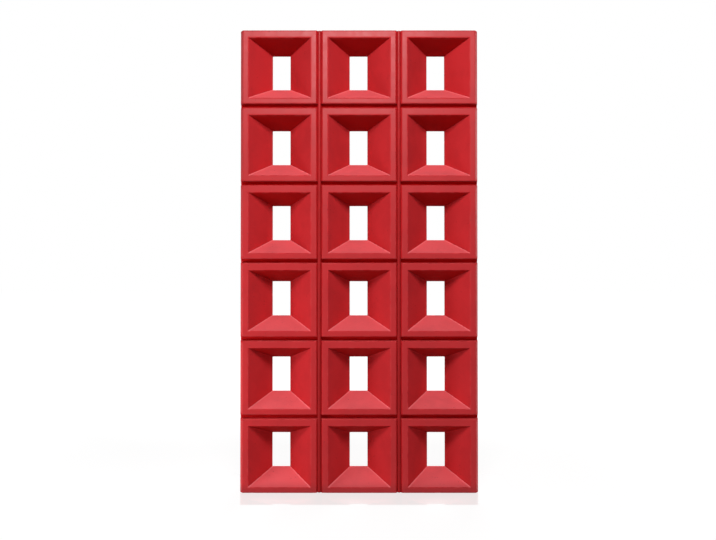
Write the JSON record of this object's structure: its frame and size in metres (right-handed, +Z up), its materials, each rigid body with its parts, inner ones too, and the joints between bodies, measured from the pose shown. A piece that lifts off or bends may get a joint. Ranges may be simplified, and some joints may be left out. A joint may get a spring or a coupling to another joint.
{
  "type": "hollow brick partition panel",
  "caption": "Free-standing masonry screen of square hollow bricks whose mouths taper to upright slots, laid in straight columns with raked joints and round cover rods.",
  "frame": {"origin": "middle of the footprint, on the ground", "axes": "+Z up the panel, +X to the right as seen from the front, the wide mouths face -Y"},
  "size_m": [0.613, 0.09, 1.19],
  "materials": {
    "brick": "matte red, fine grained, unglazed",
    "mortar": "red tinted, raked and rough",
    "rod": "matte red paint",
    "ladder": "galvanised wire"
  },
  "bodies": {
    "root": {"brick_r1_c1": "brick", "brick_r1_c2": "brick", "brick_r1_c3": "brick", "brick_r2_c1": "brick", "brick_r2_c2": "brick", "brick_r2_c3": "brick", "brick_r3_c1": "brick", "brick_r3_c2": "brick", "brick_r3_c3": "brick", "brick_r4_c1": "brick", "brick_r4_c2": "brick", "brick_r4_c3": "brick", "brick_r5_c1": "brick", "brick_r5_c2": "brick", "brick_r5_c3": "brick", "brick_r6_c1": "brick", "brick_r6_c2": "brick", "brick_r6_c3": "brick", "bed_mortar_1": "mortar", "bed_mortar_2": "mortar", "bed_mortar_3": "mortar", "bed_mortar_4": "mortar", "bed_mortar_5": "mortar", "upright_mortar_r1_j1": "mortar", "upright_mortar_r1_j2": "mortar", "upright_mortar_r2_j1": "mortar", "upright_mortar_r2_j2": "mortar", "upright_mortar_r3_j1": "mortar", "upright_mortar_r3_j2": "mortar", "upright_mortar_r4_j1": "mortar", "upright_mortar_r4_j2": "mortar", "upright_mortar_r5_j1": "mortar", "upright_mortar_r5_j2": "mortar", "upright_mortar_r6_j1": "mortar", "upright_mortar_r6_j2": "mortar", "front_rod_1": "rod", "front_rod_2": "rod", "back_rod_1": "rod", "back_rod_2": "rod", "bed_ladder_1": "ladder", "bed_ladder_2": "ladder", "bed_ladder_3": "ladder", "bed_ladder_4": "ladder", "bed_ladder_5": "ladder"}
  },
  "joints": []
}
